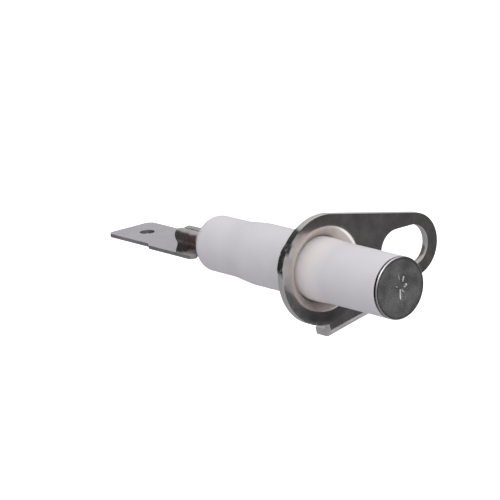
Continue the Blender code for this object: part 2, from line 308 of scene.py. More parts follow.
def place(tree, stretch=(1, 1, 1)):
    """Object coordinates, stretched along the axes."""
    coords = tree.nodes.new("ShaderNodeTexCoord")
    mapping = tree.nodes.new("ShaderNodeMapping")
    mapping.inputs["Scale"].default_value = stretch
    tree.links.new(coords.outputs["Object"], mapping.inputs["Vector"])
    return mapping.outputs["Vector"]


def noise(tree, size, detail=3.0, stretch=(1, 1, 1), rough=0.5):
    """Noise with features of about one size, in metres."""
    node = tree.nodes.new("ShaderNodeTexNoise")
    node.inputs["Scale"].default_value = 1 / size
    node.inputs["Detail"].default_value = detail
    node.inputs["Roughness"].default_value = rough
    tree.links.new(place(tree, stretch), node.inputs["Vector"])
    return node.outputs["Fac"]


def spread(tree, value, low, high, start=0.3, end=0.7):
    """Map a value's range start..end to low..high."""
    node = tree.nodes.new("ShaderNodeMapRange")
    node.inputs["From Min"].default_value = start
    node.inputs["From Max"].default_value = end
    node.inputs["To Min"].default_value = low
    node.inputs["To Max"].default_value = high
    tree.links.new(value, node.inputs["Value"])
    return node.outputs["Result"]


def mix_colour(tree, factor, first, second):
    """Two colours mixed by a factor; each may be a colour or another node's output."""
    node = tree.nodes.new("ShaderNodeMix")
    node.data_type = "RGBA"
    tree.links.new(factor, node.inputs[0])
    for socket, value in ((node.inputs[6], first), (node.inputs[7], second)):
        if isinstance(value, tuple):
            socket.default_value = (*value, 1.0)
        else:
            tree.links.new(value, socket)
    return node.outputs[2]


def maths(tree, operation, first, second=None):
    """One Math node; each input may be a number or another node's output."""
    node = tree.nodes.new("ShaderNodeMath")
    node.operation = operation
    for socket, value in zip(node.inputs, (first, second)):
        if value is None:
            continue
        if isinstance(value, (int, float)):
            socket.default_value = value
        else:
            tree.links.new(value, socket)
    return node.outputs["Value"]


def times(tree, first, second):
    """The product of two values."""
    return maths(tree, "MULTIPLY", first, second)


def axis_radius(tree):
    """The distance from the ceramic's axis, in metres."""
    split = tree.nodes.new("ShaderNodeSeparateXYZ")
    tree.links.new(place(tree), split.inputs["Vector"])
    squares = [times(tree, split.outputs[i], split.outputs[i]) for i in (1, 2)]
    return maths(tree, "SQRT", maths(tree, "ADD", *squares))


def axis_angle(tree):
    """The angle round the ceramic's axis from +Y, in radians from -pi to pi."""
    split = tree.nodes.new("ShaderNodeSeparateXYZ")
    tree.links.new(place(tree), split.inputs["Vector"])
    return maths(tree, "ARCTAN2", split.outputs[2], split.outputs[1])


def window(tree, value, low, high, soft):
    """1 where a value is between low and high, with soft edges."""
    return times(tree, spread(tree, value, 0.0, 1.0, low - soft, low + soft),
                 spread(tree, value, 1.0, 0.0, high - soft, high + soft))


def along_axis(tree, axis):
    """One object coordinate, in metres."""
    split = tree.nodes.new("ShaderNodeSeparateXYZ")
    tree.links.new(place(tree), split.inputs["Vector"])
    return split.outputs[axis]


def bump(tree, shader, height, depth, strength=1.0, onto=None):
    """Add a bump of the given depth, in metres."""
    node = tree.nodes.new("ShaderNodeBump")
    node.inputs["Distance"].default_value = depth
    node.inputs["Strength"].default_value = strength
    tree.links.new(height, node.inputs["Height"])
    if onto is not None:
        tree.links.new(onto, node.inputs["Normal"])
    tree.links.new(node.outputs["Normal"], shader.inputs["Normal"])
    return node.outputs["Normal"]


# ---------------------------------------------------------------- materials

def alumina_material():
    """White fired alumina: satin, very fine grain, faint cloudy tone, a few dull smudges and a
    painted warm glow where it comes out of the bracket's dish, standing in for light off the dish."""
    cool_white = (0.780, 0.770, 0.795)
    bright_white = (0.815, 0.806, 0.822)
    smudge = (0.62, 0.58, 0.57)
    dish_glow_white = (0.960, 0.900, 0.895)
    material, tree, shader = start_material("alumina_fired")
    cloud = noise(tree, 3.0 * MM, detail=2.0)
    tone = mix_colour(tree, spread(tree, cloud, 0.0, 1.0), cool_white, bright_white)
    speck = noise(tree, 0.30 * MM, detail=2.0)
    tone = mix_colour(tree, spread(tree, speck, 0.0, 0.35, 0.68, 0.80), tone, smudge)
    # painted light: a warmer, lighter tone near the dish stands in for light reflected off the dish
    dish_glow_band = window(tree, along_axis(tree, 0), 0.0, 1.8 * MM, 1.4 * MM)
    tone = mix_colour(tree, times(tree, dish_glow_band, 0.9), tone, dish_glow_white)
    tree.links.new(tone, shader.inputs["Base Color"])
    tree.links.new(spread(tree, noise(tree, 1.1 * MM), 0.34, 0.50), shader.inputs["Roughness"])
    shader.inputs["Specular IOR Level"].default_value = 0.45
    grain = bump(tree, shader, noise(tree, 0.09 * MM, detail=3.0), 0.0035 * MM, 0.5)
    bump(tree, shader, noise(tree, 1.6 * MM, detail=2.0), 0.015 * MM, 0.4, grain)
    return material


def rolled_steel(name, light, dark, rough_low, rough_high, grain=(1, 1, 1), grain_depth=0.0006):
    """Rolled sheet: cloudy tone, fine rolling lines and handling marks."""
    material, tree, shader = start_material(name)
    shader.inputs["Metallic"].default_value = 1.0
    cloud = noise(tree, 1.8 * MM, detail=3.0, rough=0.55)
    colour = mix_colour(tree, spread(tree, cloud, 0.0, 1.0), dark, light)
    tree.links.new(colour, shader.inputs["Base Color"])
    lines = noise(tree, 0.10 * MM, detail=2.0, stretch=grain)
    tree.links.new(spread(tree, noise(tree, 0.8 * MM, detail=3.0), rough_low, rough_high),
                   shader.inputs["Roughness"])
    fine = bump(tree, shader, lines, grain_depth * MM, 0.4)
    bump(tree, shader, noise(tree, 2.2 * MM, detail=2.0), 0.008 * MM, 0.3, fine)
    return material, tree, shader, colour


def bracket_face_material():
    """Stainless sheet of the bracket: a warm heat tint in the dish, a painted highlight band on
    the dish's upper +Y side, a painted brownish reflection along the top of its rim, painted
    blue-black shade on the sheet below it and painted shade in the lower dish, and a painted
    near-black dark reflection on the front edge at the broken-off stub."""
    light, dark = (0.66, 0.64, 0.61), (0.45, 0.435, 0.415)
    dish_warm = (0.73, 0.675, 0.615)
    dish_highlight_colour = (0.88, 0.84, 0.79)
    dish_painted_shade = (0.42, 0.40, 0.37)
    painted_shade_blue = (0.20, 0.205, 0.245)
    reflection_brown = (0.66, 0.50, 0.50)
    stub_painted_black = (0.06, 0.065, 0.06)
    material, tree, shader, colour = rolled_steel("bracket_sheet", light, dark, 0.17, 0.26,
                                                  grain=(1, 0.05, 1))
    angle = axis_angle(tree)
    ripple = spread(tree, noise(tree, 1.2 * MM), -0.16 * MM, 0.16 * MM)
    radius = maths(tree, "ADD", axis_radius(tree), ripple)
    in_dish = spread(tree, radius, 1.0, 0.0, 4.60 * MM, 5.05 * MM)
    colour = mix_colour(tree, in_dish, colour, dish_warm)
    # painted highlight: a brighter band in the dish on its upper +Y side
    dish_highlight_streak = times(tree, window(tree, angle, 0.45, 1.05, 0.15), in_dish)
    colour = mix_colour(tree, dish_highlight_streak, colour, dish_highlight_colour)
    # painted shade: a blue-black patch on the sheet below the dish stands in for a dark reflection
    below = times(tree, window(tree, angle, -2.25, -1.15, 0.25),
                  spread(tree, noise(tree, 1.6 * MM, detail=2.0), 0.55, 1.0, 0.35, 0.6))
    stain_and_painted_shade = times(tree, below, window(tree, radius, 4.75 * MM, 5.75 * MM, 0.20 * MM))
    colour = mix_colour(tree, stain_and_painted_shade, colour, painted_shade_blue)
    # painted shade: the lower part of the dish is darkened
    colour = mix_colour(tree, times(tree, times(tree, below, in_dish), 0.9), colour, dish_painted_shade)
    rim = window(tree, radius, 4.80 * MM, 5.45 * MM, 0.22 * MM)
    # painted reflection: a brownish tone along the top of the rim stands in for the reflection seen
    # there
    brown_reflection_band = times(tree, rim, window(tree, angle, 1.55, 2.25, 0.20))
    colour = mix_colour(tree, times(tree, brown_reflection_band, 0.7), colour, reflection_brown)
    # painted dark reflection: near-black on the front edge at the broken-off stub
    stub_dark_band = times(tree, spread(tree, radius, 0.0, 1.0, 5.72 * MM, 5.90 * MM),
                 window(tree, angle, 2.46, 2.66, 0.05))
    colour = mix_colour(tree, stub_dark_band, colour, stub_painted_black)
    tree.links.new(colour, shader.inputs["Base Color"])
    return material


def sheared_edge_material(name, light, dark):
    """A punched edge: duller and lighter than the sheet."""
    material, tree, shader, colour = rolled_steel(name, light, dark, 0.34, 0.50, grain=(0.15, 1, 1),
                                                  grain_depth=0.003)
    shader.inputs["Metallic"].default_value = 0.35
    shader.inputs["Specular IOR Level"].default_value = 0.3
    return material, tree, shader, colour


def bracket_edge_material():
    """The bracket's punched edge: rough where it was torn off its strip, with painted near-black
    dark reflection along that torn stretch, and painted shade along the slot's lower rear side."""
    light, dark = (0.66, 0.66, 0.645), (0.53, 0.53, 0.515)
    stain_and_painted_shade = (0.12, 0.12, 0.11)
    torn_painted_black = (0.045, 0.047, 0.043)
    torn_fleck = (0.40, 0.40, 0.38)
    material, tree, shader, colour = sheared_edge_material("bracket_sheared_edge", light, dark)
    wander = noise(tree, 1.0 * MM, detail=3.0)
    depth = maths(tree, "ADD", along_axis(tree, 0), spread(tree, wander, -0.22 * MM, 0.22 * MM))
    # painted shade: the slot's lower wall is darkened towards the back
    slot_bottom = times(tree, window(tree, along_axis(tree, 2), -2.3 * MM, -0.5 * MM, 0.25 * MM),
                        spread(tree, along_axis(tree, 1), 0.0, 0.85, 8.0 * MM, 8.5 * MM))
    rear = times(tree, slot_bottom, spread(tree, depth, 1.0, 0.0, -0.55 * MM, -0.35 * MM))
    colour = mix_colour(tree, rear, colour, stain_and_painted_shade)
    angle = maths(tree, "ADD", axis_angle(tree), spread(tree, wander, -0.07, 0.07))
    outer = spread(tree, axis_radius(tree), 0.0, 1.0, 5.6 * MM, 5.7 * MM)
    # painted dark reflection: the torn stretch is coloured near-black with grey flecks; its bump
    # below is real roughness
    torn = times(tree, window(tree, angle, TORN_START, TORN_END, 0.05), outer)
    fleck = spread(tree, noise(tree, 0.45 * MM, detail=3.0), 0.0, 0.8, 0.60, 0.72)
    colour = mix_colour(tree, torn, colour, mix_colour(tree, fleck, torn_painted_black, torn_fleck))
    tree.links.new(colour, shader.inputs["Base Color"])
    roughened = times(tree, torn, noise(tree, 0.35 * MM, detail=4.0))
    bump(tree, shader, roughened, 0.05 * MM, 0.7)
    return material


def button_material():
    """Turned steel face: concentric tool marks, soft stains, a rim painted dark as reflection with
    a painted highlight above on the -Y side and random patches of painted highlight, a painted
    dark ring just inside the rim, and a dark side wall."""
    grey, bright_grey = (0.51, 0.51, 0.50), (0.80, 0.80, 0.78)
    stain_grey = (0.32, 0.31, 0.30)
    wall_dark = (0.10, 0.095, 0.10)
    rim_dark_reflection, rim_highlight = (0.14, 0.13, 0.13), (0.85, 0.84, 0.83)
    inner_ring_dark = (0.26, 0.25, 0.24)
    ring_pitch = 0.13 * MM
    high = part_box("spark_button")[1]
    material, tree, shader = start_material("button_turned")
    shader.inputs["Metallic"].default_value = 1.0
    radius = axis_radius(tree)
    angle = axis_angle(tree)
    wobble = spread(tree, noise(tree, 0.9 * MM, detail=2.0), -0.02 * MM, 0.02 * MM)
    turns = times(tree, maths(tree, "ADD", radius, wobble), 2 * math.pi / ring_pitch)
    rings = maths(tree, "SINE", turns)
    cloud = noise(tree, 1.9 * MM, detail=3.0, rough=0.5)
    tone = mix_colour(tree, spread(tree, cloud, 0.0, 1.0, 0.38, 0.62), grey, bright_grey)
    stain_and_painted_shade = noise(tree, 0.7 * MM, detail=3.0)
    tone = mix_colour(tree, spread(tree, stain_and_painted_shade, 0.0, 0.35, 0.58, 0.75), tone, stain_grey)
    wall = spread(tree, along_axis(tree, 0), 1.0, 0.0, high.x - BUTTON_EDGE - 0.03 * MM,
                  high.x - BUTTON_EDGE + 0.02 * MM)
    tone = mix_colour(tree, wall, tone, wall_dark)
    # painted highlight and dark reflection: the rim's bevel is near-black, with a painted highlight
    # above on the -Y side and random patches of painted highlight
    brim = spread(tree, radius, 0.0, 1.0, high.y - 2.0 * BUTTON_EDGE, high.y - BUTTON_EDGE)
    highlight_arc = times(tree, spread(tree, angle, 1.0, 0.25, 2.55, 2.95),
                       spread(tree, angle, 0.25, 1.0, 1.2, 1.8))
    highlight_patches = spread(tree, noise(tree, 1.1 * MM, detail=3.0), 0.0, 0.4, 0.40, 0.62)
    rim_tone = mix_colour(tree, maths(tree, "MAXIMUM", highlight_arc, highlight_patches), rim_dark_reflection, rim_highlight)
    bevel = times(tree, brim, maths(tree, "SUBTRACT", 1.0, wall))
    tone = mix_colour(tree, bevel, tone, rim_tone)
    # painted dark reflection: a dark ring just inside the rim
    inner_dark_band = window(tree, radius, high.y - 0.30 * MM, high.y - 0.17 * MM, 0.04 * MM)
    tone = mix_colour(tree, times(tree, inner_dark_band, 0.7), tone, inner_ring_dark)
    tree.links.new(tone, shader.inputs["Base Color"])
    tree.links.new(spread(tree, noise(tree, 0.7 * MM, detail=2.0), 0.20, 0.30),
                   shader.inputs["Roughness"])
    shader.inputs["Anisotropic"].default_value = 0.55
    tangent = tree.nodes.new("ShaderNodeTangent")
    tangent.direction_type = "RADIAL"
    tangent.axis = "X"
    tree.links.new(tangent.outputs["Tangent"], shader.inputs["Tangent"])
    tooling = bump(tree, shader, spread(tree, rings, 0.0, 1.0, -1.0, 1.0), 0.0008 * MM, 0.5)
    bump(tree, shader, noise(tree, 0.5 * MM, detail=3.0), 0.003 * MM, 0.4, tooling)
    return material


def terminal_material():
    """Plated strip of the terminal: bright and smooth, duller and brown-tinted near the crimp."""
    light, dark = (0.74, 0.73, 0.75), (0.66, 0.65, 0.67)
    tint = (0.52, 0.47, 0.43)
    material, tree, shader, colour = rolled_steel("terminal_strip", light, dark, 0.07, 0.13,
                                                  grain=(0.05, 1, 1))
    x = along_axis(tree, 0)
    dulled = times(tree, spread(tree, x, 0.0, 0.5, -22.2 * MM, -20.2 * MM),
                   spread(tree, noise(tree, 1.0 * MM, detail=2.0), 0.6, 1.0))
    smooth = spread(tree, noise(tree, 0.8 * MM), 0.07, 0.13)
    tree.links.new(maths(tree, "MAXIMUM", dulled, smooth), shader.inputs["Roughness"])
    patch = times(tree, spread(tree, x, 0.0, 1.0, -23.8 * MM, -20.8 * MM),
                  spread(tree, noise(tree, 0.9 * MM, detail=3.0), 0.5, 1.0))
    colour = mix_colour(tree, times(tree, patch, 0.6), colour, tint)
    tree.links.new(colour, shader.inputs["Base Color"])
    return material


def hole_edge_material():
    """The wall of the tab's hole: painted dark as shade, with a painted lit stretch on the side
    towards the crimp.
    """
    # painted shade: the wall's dark colours stand in for the shade inside the hole
    light, dark = (0.16, 0.15, 0.15), (0.08, 0.075, 0.08)
    lit_wall_grey = (0.62, 0.61, 0.62)
    material, tree, shader, colour = sheared_edge_material("terminal_hole_edge", light, dark)
    middle_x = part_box("spade_terminal")[0].x + TAB_HOLE_FROM_TIP
    # painted light: a lit stretch of the wall on the side towards the crimp
    wander = spread(tree, noise(tree, 0.5 * MM, detail=2.0), -0.12 * MM, 0.12 * MM)
    bright = window(tree, maths(tree, "ADD", along_axis(tree, 0), wander),
                    middle_x + 0.25 * MM, middle_x + 0.72 * MM, 0.10 * MM)
    tree.links.new(mix_colour(tree, bright, colour, lit_wall_grey), shader.inputs["Base Color"])
    return material


def crimp_material():
    """The crimp: plated steel on top, with painted shade darkening its sides to brown and painted
    red reflection glints in blotches on them.
    """
    light, dark = (0.60, 0.59, 0.57), (0.46, 0.45, 0.44)
    shaded_side_brown = (0.34, 0.30, 0.295)
    glint_red = (0.33, 0.21, 0.19)
    material, tree, shader, colour = rolled_steel("terminal_crimp", light, dark, 0.22, 0.34,
                                                  grain=(0.2, 1, 1))
    shader.inputs["Metallic"].default_value = 0.82
    # painted shade and reflection: the sides below the top darken to brown, with red glints in
    # blotches
    height = maths(tree, "ADD", along_axis(tree, 2),
                   spread(tree, noise(tree, 0.8 * MM, detail=2.0), -0.1 * MM, 0.1 * MM))
    side = spread(tree, height, 1.0, 0.0, 0.62 * MM, 0.82 * MM)
    colour = mix_colour(tree, side, colour, shaded_side_brown)
    blotch = spread(tree, noise(tree, 0.9 * MM, detail=2.0), 0.0, 0.8, 0.48, 0.66)
    colour = mix_colour(tree, times(tree, side, blotch), colour, glint_red)
    tree.links.new(colour, shader.inputs["Base Color"])
    return material


def rod_material():
    """Drawn heat-resistant wire, dark brown-grey with lines along it."""
    light, dark = (0.34, 0.30, 0.27), (0.22, 0.19, 0.17)
    return rolled_steel("rod_wire", light, dark, 0.28, 0.45, grain=(0.05, 1, 1),
                        grain_depth=0.004)[0]


def cement_material():
    """Matte sealing cement: sandy, pitted and off-white."""
    sand, pale = (0.60, 0.57, 0.52), (0.76, 0.74, 0.69)
    material, tree, shader = start_material("cement_fired")
    tone = mix_colour(tree, spread(tree, noise(tree, 0.4 * MM, detail=5.0), 0.0, 1.0), sand, pale)
    tree.links.new(tone, shader.inputs["Base Color"])
    tree.links.new(spread(tree, noise(tree, 0.2 * MM), 0.75, 0.95), shader.inputs["Roughness"])
    bump(tree, shader, noise(tree, 0.12 * MM, detail=5.0), 0.03 * MM, 0.8)
    return material


# ---------------------------------------------------------------- pieces

def make_ceramic(material):
    """The insulator's three barrels, fitted close to the button and the bracket's collar."""
    rear_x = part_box("ceramic_insulator")[0].x
    button_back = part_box("spark_button")[1].x - BUTTON_WALL - BUTTON_EDGE
    front_x = button_back - BUTTON_UNDERCUT
    swollen_radius = CERAMIC_MIDDLE_RADIUS + CERAMIC_SWELL
    edge = CERAMIC_FRONT_EDGE
    bore = ROD_RADIUS + BORE_CLEARANCE
    outside = [(front_x, bore)]
    outside += arc((front_x - edge, CERAMIC_FRONT_RADIUS - edge), edge, edge, 0, QUARTER, 8)
    outside += blend_line((CERAMIC_TAPER_FRONT_X, CERAMIC_FRONT_RADIUS),
                          (CERAMIC_TAPER_REAR_X, swollen_radius), 12)
    outside += blend_line((SWELL_END_X, swollen_radius),
                          (SWELL_GONE_X, CERAMIC_MIDDLE_RADIUS), 6)
    outside += blend_line((STEP_FRONT_X, CERAMIC_MIDDLE_RADIUS),
                          (STEP_REAR_X, CERAMIC_REAR_RADIUS), 24)
    outside += arc((rear_x + REAR_ROUND_LENGTH, CERAMIC_REAR_RADIUS - REAR_ROUND_HEIGHT),
                   REAR_ROUND_LENGTH, REAR_ROUND_HEIGHT, QUARTER, 2 * QUARTER, 24)
    pocket = rear_x + REAR_POCKET_DEPTH
    outside += [(pocket, CERAMIC_REAR_RADIUS - REAR_ROUND_HEIGHT), (pocket, bore)]
    return add_piece("ceramic_body", turned(outside, ROUND_STEPS), [material],
                     "ceramic_insulator")


def stake_dent(y, z):
    """How far the button's face is pressed in at one place by the centre's stake marks."""
    dent = 0.0
    for angle, start, end, half_width, depth in STAKES:
        along = (y * math.cos(angle) + z * math.sin(angle) - start) / (end - start)
        across = (z * math.cos(angle) - y * math.sin(angle)) / half_width
        if 0 < along < 1 and abs(across) < 1:
            dent += depth * math.sin(math.pi * along) ** 0.5 * (1 - across * across)
    return dent


def make_button(material):
    """The spark button: a turned disc, staked at its centre, with rolled edges."""
    low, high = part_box("spark_button")
    face_x = high.x
    back_x = face_x - BUTTON_WALL - BUTTON_EDGE
    radius = high.y
    bm = bmesh.new()
    steps = ROUND_STEPS * 2
    rings = [ring_of(bm, back_x, ROD_RADIUS, steps),
             ring_of(bm, back_x, radius - BUTTON_BACK_EDGE, steps),
             ring_of(bm, back_x + BUTTON_BACK_EDGE, radius, steps)]
    for x, r in arc((face_x - BUTTON_EDGE, radius - BUTTON_EDGE), BUTTON_EDGE, BUTTON_EDGE,
                    QUARTER, 0, 8):
        rings.append(ring_of(bm, x, r, steps))
    flat = radius - BUTTON_EDGE
    for i in range(1, BUTTON_FACE_RINGS):
        ring = ring_of(bm, face_x, flat * (1 - i / BUTTON_FACE_RINGS), steps)
        for vert in ring:
            vert.co.x -= stake_dent(vert.co.y, vert.co.z)
        rings.append(ring)
    for first, second in zip(rings, rings[1:]):
        bridge(bm, first, second)
    centre = bm.verts.new((face_x - stake_dent(0, 0), 0, 0))
    last = rings[-1]
    for i in range(steps):
        bm.faces.new((last[i - 1], last[i], centre))
    hub = ring_of(bm, low.x, ROD_RADIUS, steps)
    bridge(bm, hub, rings[0])
    bm.faces.new(hub)
    return add_piece("button_disc", bm, [material], "spark_button")


def make_rod(material):
    """The conductor rod, with a rounded, cut rear end."""
    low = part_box("electrode_rod")[0]
    front_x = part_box("spark_button")[0].x - BORE_CLEARANCE
    profile = [(front_x, 0.0), (front_x, ROD_RADIUS)]
    profile += arc((low.x + ROD_EDGE, ROD_RADIUS - ROD_EDGE), ROD_EDGE, ROD_EDGE,
                   QUARTER, 2 * QUARTER, 6)
    profile.append((low.x + ROD_END_DISH, 0.0))
    bm = bmesh.new()
    verts = [bm.verts.new((x, radius, 0)) for x, radius in profile]
    edges = [bm.edges.new((a, b)) for a, b in zip(verts, verts[1:])]
    bmesh.ops.spin(bm, geom=verts + edges, cent=(0, 0, 0), axis=(1, 0, 0),
                   angle=2 * math.pi, steps=64, use_merge=True)
    bmesh.ops.remove_doubles(bm, verts=bm.verts, dist=MERGE)
    return add_piece("rod", bm, [material], "electrode_rod")


def make_seal(material):
    """The cement fillet that fills the ceramic's rear pocket round the rod."""
    rear_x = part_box("ceramic_insulator")[0].x
    mouth = CERAMIC_REAR_RADIUS - REAR_ROUND_HEIGHT + SEAL_SPREAD
    middle = (ROD_RADIUS + mouth) / 2
    half = (mouth - ROD_RADIUS) / 2 + SEAL_OVERLAP
    floor_x = rear_x + REAR_POCKET_DEPTH
    profile = arc((rear_x + SEAL_SETBACK, middle), SEAL_CROWN, half, QUARTER, 3 * QUARTER, 10)
    profile += [(floor_x, middle - half), (floor_x, middle + half)]
    bm = turned(profile, 96)
    lumps = random.Random(7)
    for vert in bm.verts:
        if vert.co.x < rear_x + SEAL_ROUGH_DEPTH:
            vert.co.x += lumps.uniform(-1, 1) * SEAL_ROUGHNESS
    return add_piece("rear_seal", bm, [material], "rear_cement_seal")


def bracket_outline():
    """The bracket's flat outline as (y, z) points, the number of the lip edge's first point, and
    the lip's outward and lengthwise directions."""
    lean = math.asin((BRACKET_RADIUS - EAR_RADIUS) / EAR_Y)
    tangent = QUARTER - lean
    along = Vector((math.cos(lean), math.sin(lean)))
    outward = Vector((math.sin(lean), -math.cos(lean)))
    torn = random.Random(3)
    points = arc((EAR_Y, 0), EAR_RADIUS, EAR_RADIUS, -tangent, tangent, 60)
    points += arc((0, 0), BRACKET_RADIUS, BRACKET_RADIUS, tangent, STUB_START, 34)
    stub_steps = 22
    for i in range(stub_steps + 1):
        share = i / stub_steps
        angle = STUB_START + (STUB_END - STUB_START) * share
        height = STUB_HEIGHT * ease(min(share, 1 - share) * STUB_RAMP)
        radius = BRACKET_RADIUS + height + torn.uniform(-0.5, 0.5) * STUB_ROUGHNESS
        points.append((radius * math.cos(angle), radius * math.sin(angle)))
    foot_angle = math.atan2(outward.y, outward.x) + 2 * math.pi
    lip_angle = foot_angle + math.asin(LIP_START / BRACKET_RADIUS)
    points += arc((0, 0), BRACKET_RADIUS, BRACKET_RADIUS, STUB_END + STUB_CLEAR_ANGLE, lip_angle,
                  44)
    line = outward * (BRACKET_RADIUS + LIP_STANDOFF)
    lip_first = len(points)
    points.append(tuple(line + along * LIP_START))
    points.append(tuple(line + along * LIP_END))
    points.append(tuple(outward * BRACKET_RADIUS + along * LIP_END))
    return points, lip_first, outward, along


def slot_outline():
    """The slot in the ear as (y, z) points."""
    half = SLOT_WIDTH / 2
    return (arc((SLOT_NEAR_Y, 0), half, half, QUARTER, 3 * QUARTER, 40)
            + arc((SLOT_FAR_Y, 0), half, half, -QUARTER, QUARTER, 40))


def dish_profile(collar_radius):
    """The dish's front surface as (x, radius) points: a knee, a cone, a knee and the collar."""
    first = arc((-DISH_KNEE, DISH_OUTER_RADIUS), DISH_KNEE, -DISH_KNEE, 0, DISH_SLOPE, BEND_STEPS)
    last = arc((0, collar_radius + DISH_KNEE), DISH_KNEE, -DISH_KNEE, DISH_SLOPE, QUARTER,
               BEND_STEPS)
    gap = first[-1][1] - last[0][1]
    shift = first[-1][0] - gap * math.tan(DISH_SLOPE) - last[0][0]
    return first + [(x + shift, radius) for x, radius in last] + [(-COLLAR_LENGTH, collar_radius)]


def draw_dish(bm, rim, collar_radius):
    """Carry the sheet from the dish's rim down its cone and back along the collar."""
    start_radius = DISH_OUTER_RADIUS + FLAT_MARGIN
    previous = rim
    for x, radius in dish_profile(collar_radius):
        scale = radius / start_radius
        ring = [bm.verts.new((x, vert.co.y * scale, vert.co.z * scale)) for vert in rim]
        bridge(bm, previous, ring)
        previous = ring


def bend_lip(bm, edge, outward, along):
    """Carry the sheet a little past one edge, bend it back and run it straight to the lip's end."""
    axis = Vector((0, along.x, along.y))
    out = Vector((0, outward.x, outward.y))
    direction = 1 if axis.cross(Vector((1, 0, 0))).dot(out) > 0 else -1
    centre = edge.verts[0].co + Vector((-LIP_BEND_RADIUS, 0, 0))
    bent = bmesh.ops.spin(bm, geom=[edge, *edge.verts], cent=centre, axis=axis,
                          angle=direction * QUARTER, steps=BEND_STEPS, use_merge=False)
    last = [item for item in bent["geom_last"] if isinstance(item, bmesh.types.BMEdge)]
    straight = bmesh.ops.extrude_edge_only(bm, edges=last)
    ends = [item for item in straight["geom"] if isinstance(item, bmesh.types.BMVert)]
    bmesh.ops.translate(bm, verts=ends, vec=(LIP_BEND_RADIUS - LIP_DEPTH, 0, 0))


def roll_edges(mesh, width, segments, front_only):
    """Round the mesh's sharp edges; with front_only, just those of the flat front face."""
    bm = bmesh.new()
    bm.from_mesh(mesh)
    sharp = []
    for edge in bm.edges:
        if edge.calc_face_angle(0.0) < SHARP_EDGE:
            continue
        if front_only and any(abs(vert.co.x) > MERGE for vert in edge.verts):
            continue
        sharp.append(edge)
    bmesh.ops.bevel(bm, geom=sharp, offset=width, offset_type="OFFSET", segments=segments,
                    profile=0.5, affect="EDGES", clamp_overlap=True, material=-1)
    bm.to_mesh(mesh)
    bm.free()


def make_bracket(face_steel, edge_steel):
    """The bracket: pear-shaped plate, slotted ear, drawn collar and bent lip, from one sheet."""
    bm = bmesh.new()
    collar_radius = CERAMIC_MIDDLE_RADIUS + CERAMIC_SWELL + DISH_CLEARANCE
    outline, lip_first, outward, along = bracket_outline()
    _, outer_edges = add_loop(bm, outline, 0)
    rim_radius = DISH_OUTER_RADIUS + FLAT_MARGIN
    rim_points = arc((0, 0), rim_radius, rim_radius, 0, 2 * math.pi, ROUND_STEPS)[:-1]
    rim_verts, rim_edges = add_loop(bm, rim_points, 0)
    slot_edges = add_loop(bm, slot_outline(), 0)[1]
    lip_edge = outer_edges[lip_first]
    bmesh.ops.triangle_fill(bm, use_beauty=True, use_dissolve=False,
                            edges=outer_edges + rim_edges + slot_edges, normal=(1, 0, 0))
    draw_dish(bm, rim_verts, collar_radius)
    bend_lip(bm, lip_edge, outward, along)
    piece = add_piece("bracket_pressing", bm, [face_steel, edge_steel],
                      "mounting_bracket")
    flat = max(piece.data.polygons, key=lambda polygon: abs(polygon.normal.x) * polygon.area)
    if flat.normal.x < 0:
        piece.data.flip_normals()
    solidify = piece.modifiers.new("sheet", "SOLIDIFY")
    solidify.thickness = SHEET
    solidify.offset = -1
    solidify.use_even_offset = True
    solidify.material_offset_rim = 1
    bake_modifiers(piece)
    roll_edges(piece.data, FRONT_ROLL, 5, True)
    roll_edges(piece.data, SHEET_EDGE, 2, False)
    piece.data.set_sharp_from_angle(angle=SMOOTH_ANGLE)
    weighted = piece.modifiers.new("flats", "WEIGHTED_NORMAL")
    weighted.keep_sharp = True
    bake_modifiers(piece)
    return piece


def horn_inside(horn_x):
    """The strip's concave front edge as (x, y) points, from one horn's end to the middle, clear of
    the ceramic's rounded rear end."""
    centre_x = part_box("ceramic_insulator")[0].x + REAR_ROUND_LENGTH
    length = REAR_ROUND_LENGTH + HORN_CLEARANCE
    height = REAR_ROUND_HEIGHT + HORN_CLEARANCE
    clear = arc((centre_x, CERAMIC_REAR_RADIUS - REAR_ROUND_HEIGHT), length, height,
                math.acos((horn_x - centre_x) / length), math.pi, 20)
    return [(x, math.sqrt(radius ** 2 - TERMINAL_TOP_Z ** 2)) for x, radius in clear]


def terminal_outline(tip_x, horn_x):
    """The strip's flat outline as (x, y) points, from the tip along one side to the front, and
    back along the other side."""
    half_tab = TAB_WIDTH / 2
    half_base = BASE_WIDTH / 2
    side = arc((tip_x + TAB_TIP_ROUND, half_tab - TAB_TIP_ROUND), TAB_TIP_ROUND, TAB_TIP_ROUND,
               math.pi, QUARTER, 8)
    side += blend_line((TAB_SHOULDER_X, half_tab),
                       (TAB_SHOULDER_X + SHOULDER_LENGTH, half_base), 10)
    corner = arc((horn_x - BASE_CORNER, half_base - BASE_CORNER),
                 BASE_CORNER, BASE_CORNER, QUARTER, 0, 10)
    upper = side + corner + horn_inside(horn_x)
    return upper + [(x, -y) for x, y in reversed(upper)]


